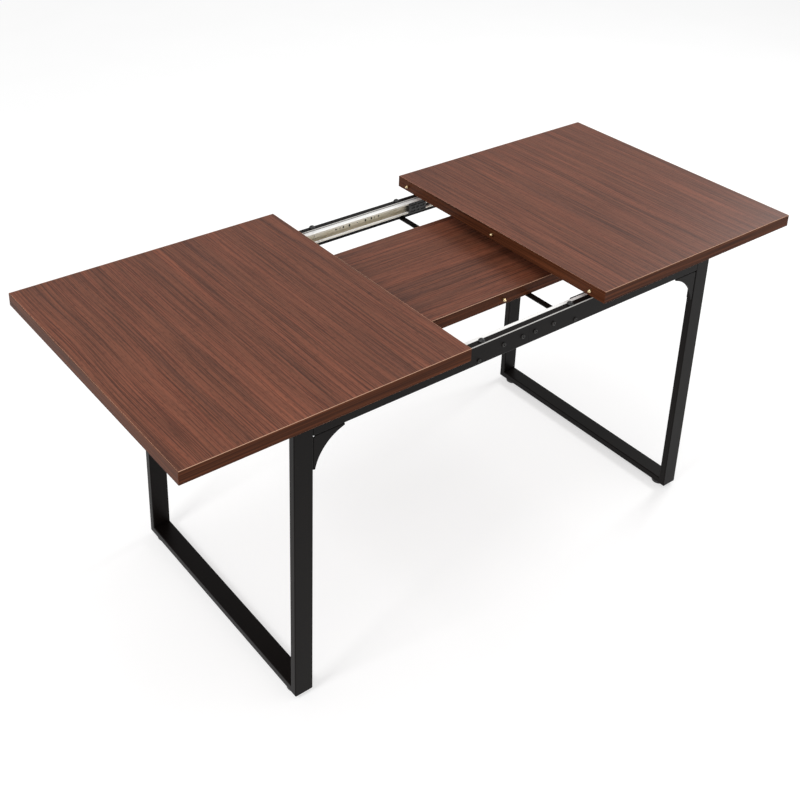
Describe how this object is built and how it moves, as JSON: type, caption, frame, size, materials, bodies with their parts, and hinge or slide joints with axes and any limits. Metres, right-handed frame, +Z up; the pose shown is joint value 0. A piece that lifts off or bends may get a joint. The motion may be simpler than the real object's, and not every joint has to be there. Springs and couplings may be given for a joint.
{
  "type": "extendable dining table",
  "caption": "Extendable dining table: wood-look tops that pull apart on steel slides over a black steel frame with loop legs, with a stored extension leaf between them.",
  "frame": {"origin": "on the floor, under the middle of the table as it stands at rest with both tops drawn out; the steel frame's own middle is 14 mm along +X from it", "axes": "+X along the table, the way the tops slide, towards the right-hand top (the one with the pins); +Y across the table towards its rear; +Z up"},
  "size_m": [1.732, 0.74, 0.76],
  "materials": {
    "top_laminate": "dark brown wood-grain melamine, satin",
    "edge_banding": "dark brown wood-grain edge tape, satin",
    "powder_coated_steel": "black powder coat, fine texture, satin",
    "zinc_plated_steel": "zinc plated, lightly brushed",
    "screw_steel": "zinc plated screws",
    "brass": "turned brass",
    "black_plastic": "moulded black plastic, matte",
    "ball_steel": "polished balls in a zinc plated retainer"
  },
  "bodies": {
    "base": {"left_front_post": "powder_coated_steel", "left_front_rail": "powder_coated_steel", "left_front_gusset": "powder_coated_steel", "left_rear_post": "powder_coated_steel", "left_rear_rail": "powder_coated_steel", "left_rear_gusset": "powder_coated_steel", "left_runner": "powder_coated_steel", "left_top_bar": "powder_coated_steel", "left_crossbar": "powder_coated_steel", "right_front_post": "powder_coated_steel", "right_front_rail": "powder_coated_steel", "right_front_gusset": "powder_coated_steel", "right_rear_post": "powder_coated_steel", "right_rear_rail": "powder_coated_steel", "right_rear_gusset": "powder_coated_steel", "right_runner": "powder_coated_steel", "right_top_bar": "powder_coated_steel", "right_crossbar": "powder_coated_steel", "rail_joint_sleeves": "zinc_plated_steel", "rail_screws": "screw_steel", "rail_glides": "black_plastic", "front_slide_channel": "zinc_plated_steel", "rear_slide_channel": "zinc_plated_steel", "channel_screws": "screw_steel", "foot_nuts": "zinc_plated_steel"},
    "left_top": {"left_top_board": "top_laminate", "left_top_edging": "edge_banding", "left_top_bushes": "brass", "left_front_inner_member": "zinc_plated_steel", "left_front_bracket": "powder_coated_steel", "left_rear_inner_member": "zinc_plated_steel", "left_rear_bracket": "powder_coated_steel", "left_bracket_screws": "screw_steel"},
    "left_middle_members": {"left_front_middle_member": "zinc_plated_steel", "left_rear_middle_member": "zinc_plated_steel", "left_end_blocks": "black_plastic"},
    "left_outer_cages": {"left_outer_ball_cages": "ball_steel"},
    "left_inner_cages": {"left_inner_ball_cages": "ball_steel"},
    "right_top": {"right_top_board": "top_laminate", "right_top_edging": "edge_banding", "right_top_pins": "brass", "right_front_inner_member": "zinc_plated_steel", "right_front_bracket": "powder_coated_steel", "right_rear_inner_member": "zinc_plated_steel", "right_rear_bracket": "powder_coated_steel", "right_bracket_screws": "screw_steel"},
    "right_middle_members": {"right_front_middle_member": "zinc_plated_steel", "right_rear_middle_member": "zinc_plated_steel", "right_end_blocks": "black_plastic"},
    "right_outer_cages": {"right_outer_ball_cages": "ball_steel"},
    "right_inner_cages": {"right_inner_ball_cages": "ball_steel"},
    "leaf": {"leaf_board": "top_laminate", "leaf_edging": "edge_banding", "leaf_pins": "brass", "leaf_bushes": "brass"},
    "left_front_foot": {"left_front_foot": "black_plastic"},
    "left_rear_foot": {"left_rear_foot": "black_plastic"},
    "right_front_foot": {"right_front_foot": "black_plastic"},
    "right_rear_foot": {"right_rear_foot": "black_plastic"}
  },
  "joints": [
    {"name": "left_top_slide", "type": "slide", "parent": "base", "child": "left_top", "axis": [1, 0, 0], "range_m": [0, 0.2098]},
    {"name": "left_middle_members_slide", "type": "slide", "parent": "base", "child": "left_middle_members", "axis": [1, 0, 0], "range_m": [0, 0.1049]},
    {"name": "left_outer_cages_slide", "type": "slide", "parent": "base", "child": "left_outer_cages", "axis": [1, 0, 0], "range_m": [0, 0.05245]},
    {"name": "left_inner_cages_slide", "type": "slide", "parent": "base", "child": "left_inner_cages", "axis": [1, 0, 0], "range_m": [0, 0.15735]},
    {"name": "right_top_slide", "type": "slide", "parent": "base", "child": "right_top", "axis": [-1, 0, 0], "range_m": [-0.028, 0.1818]},
    {"name": "right_middle_members_slide", "type": "slide", "parent": "base", "child": "right_middle_members", "axis": [-1, 0, 0], "range_m": [-0.014, 0.0909]},
    {"name": "right_outer_cages_slide", "type": "slide", "parent": "base", "child": "right_outer_cages", "axis": [-1, 0, 0], "range_m": [-0.007, 0.04545]},
    {"name": "right_inner_cages_slide", "type": "slide", "parent": "base", "child": "right_inner_cages", "axis": [-1, 0, 0], "range_m": [-0.021, 0.13635]},
    {"name": "leaf_slide", "type": "slide", "parent": "base", "child": "leaf", "axis": [1, 0, 0], "range_m": [-0.2, 0.08]},
    {"name": "left_front_foot_screw", "type": "hinge", "parent": "base", "child": "left_front_foot", "pos_m": [-0.5755, -0.29, 0], "axis": [0, 0, 1], "continuous": true},
    {"name": "left_rear_foot_screw", "type": "hinge", "parent": "base", "child": "left_rear_foot", "pos_m": [-0.5755, 0.29, 0], "axis": [0, 0, 1], "continuous": true},
    {"name": "right_front_foot_screw", "type": "hinge", "parent": "base", "child": "right_front_foot", "pos_m": [0.6035, -0.29, 0], "axis": [0, 0, 1], "continuous": true},
    {"name": "right_rear_foot_screw", "type": "hinge", "parent": "base", "child": "right_rear_foot", "pos_m": [0.6035, 0.29, 0], "axis": [0, 0, 1], "continuous": true}
  ],
  "couplings": [
    {"joint": "left_middle_members_slide", "follows": "left_top_slide", "ratio": 0.5},
    {"joint": "left_outer_cages_slide", "follows": "left_top_slide", "ratio": 0.25},
    {"joint": "left_inner_cages_slide", "follows": "left_top_slide", "ratio": 0.75},
    {"joint": "right_middle_members_slide", "follows": "right_top_slide", "ratio": 0.5},
    {"joint": "right_outer_cages_slide", "follows": "right_top_slide", "ratio": 0.25},
    {"joint": "right_inner_cages_slide", "follows": "right_top_slide", "ratio": 0.75}
  ]
}
